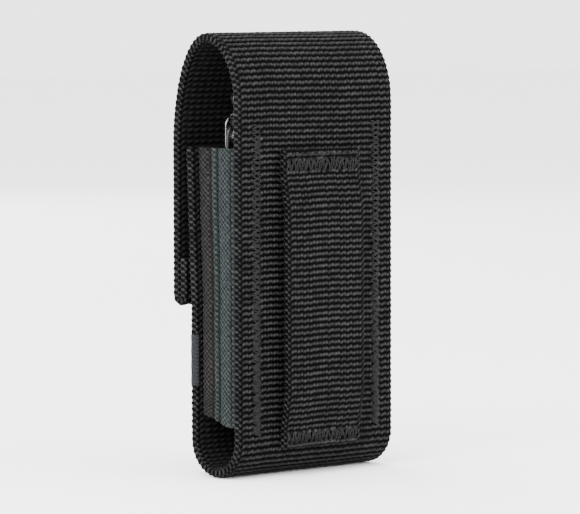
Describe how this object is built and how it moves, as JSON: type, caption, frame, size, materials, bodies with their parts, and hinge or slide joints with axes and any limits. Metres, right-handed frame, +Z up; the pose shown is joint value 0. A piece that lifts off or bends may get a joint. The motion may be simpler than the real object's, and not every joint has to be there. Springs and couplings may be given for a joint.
{
  "type": "multi tool in belt sheath",
  "caption": "Folding plier tool in a ribbed webbing belt sheath with an over-the-top flap, elastic side gussets and a sewn belt loop.",
  "frame": {"origin": "under the centre of the whole object's box, at its lowest point", "axes": "+Z up towards the arch of the flap, -Y towards the flap, +Y towards the belt loop, +X across the width"},
  "size_m": [0.0508, 0.0286, 0.108],
  "materials": {
    "webbing": "coarse ribbed nylon webbing, black, slight sheen on the ribs",
    "elastic": "dense woven elastic, grey-green, fine cross ribs",
    "hook_and_loop": "black hook and loop tape",
    "label_fabric": "smooth woven label, blank",
    "thread": "bonded nylon thread, black",
    "polished_steel": "polished stainless steel",
    "blade_steel": "satin ground stainless steel",
    "hardware_steel": "satin steel pins, springs and plier head",
    "washer_brass": "bare bronze washers"
  },
  "bodies": {
    "sheath": {"body_webbing": "webbing", "belt_loop": "webbing", "gusset_right": "elastic", "gusset_left": "elastic", "loop_patch": "hook_and_loop", "front_label": "label_fabric", "seam_stitching_right": "thread", "seam_stitching_left": "thread", "front_seam_stitching": "thread", "belt_loop_bartacks": "thread", "mouth_stitching": "thread"},
    "crown": {"crown_webbing": "webbing"},
    "flap": {"flap_webbing": "webbing", "hook_patch": "hook_and_loop", "flap_hem_stitching": "thread", "hook_patch_stitching": "thread"},
    "tool": {"handle_right": "polished_steel", "handle_left": "polished_steel", "handle_pivot_pins": "hardware_steel", "jaw_right": "hardware_steel", "jaw_left": "hardware_steel", "jaw_pivot": "hardware_steel", "implement_axle_right": "hardware_steel", "implement_axle_left": "hardware_steel", "washers_right": "washer_brass", "washers_left": "washer_brass", "spring_right": "hardware_steel", "spring_left": "hardware_steel", "knife_blade": "blade_steel", "file": "blade_steel", "large_screwdriver": "blade_steel", "can_opener": "blade_steel", "saw_blade": "blade_steel", "small_screwdriver": "blade_steel", "cross_driver": "blade_steel", "awl": "blade_steel"},
    "lanyard_eye": {"lanyard_eye": "polished_steel"}
  },
  "joints": [
    {"name": "tool_draw", "type": "slide", "parent": "sheath", "child": "tool", "axis": [0, 0, 1], "range_m": [0, 0.036]},
    {"name": "flap_lift", "type": "hinge", "parent": "sheath", "child": "crown", "pos_m": [0, 0.00945, 0.091], "axis": [-1, 0, 0], "range_deg": [0, 80.5]},
    {"name": "flap_unroll", "type": "hinge", "parent": "crown", "child": "flap", "pos_m": [0, -0.00175, 0.1067], "axis": [-1, 0, 0], "range_deg": [0, 90.5]},
    {"name": "lanyard_eye_swing", "type": "hinge", "parent": "tool", "child": "lanyard_eye", "pos_m": [0.0114, 0.00155, 0.0824], "axis": [0, 1, 0], "range_deg": [-45, 40]}
  ],
  "couplings": [
    {"joint": "flap_lift", "follows": "tool_draw", "rad_per_m": 38.785},
    {"joint": "flap_unroll", "follows": "tool_draw", "rad_per_m": 43.633}
  ]
}
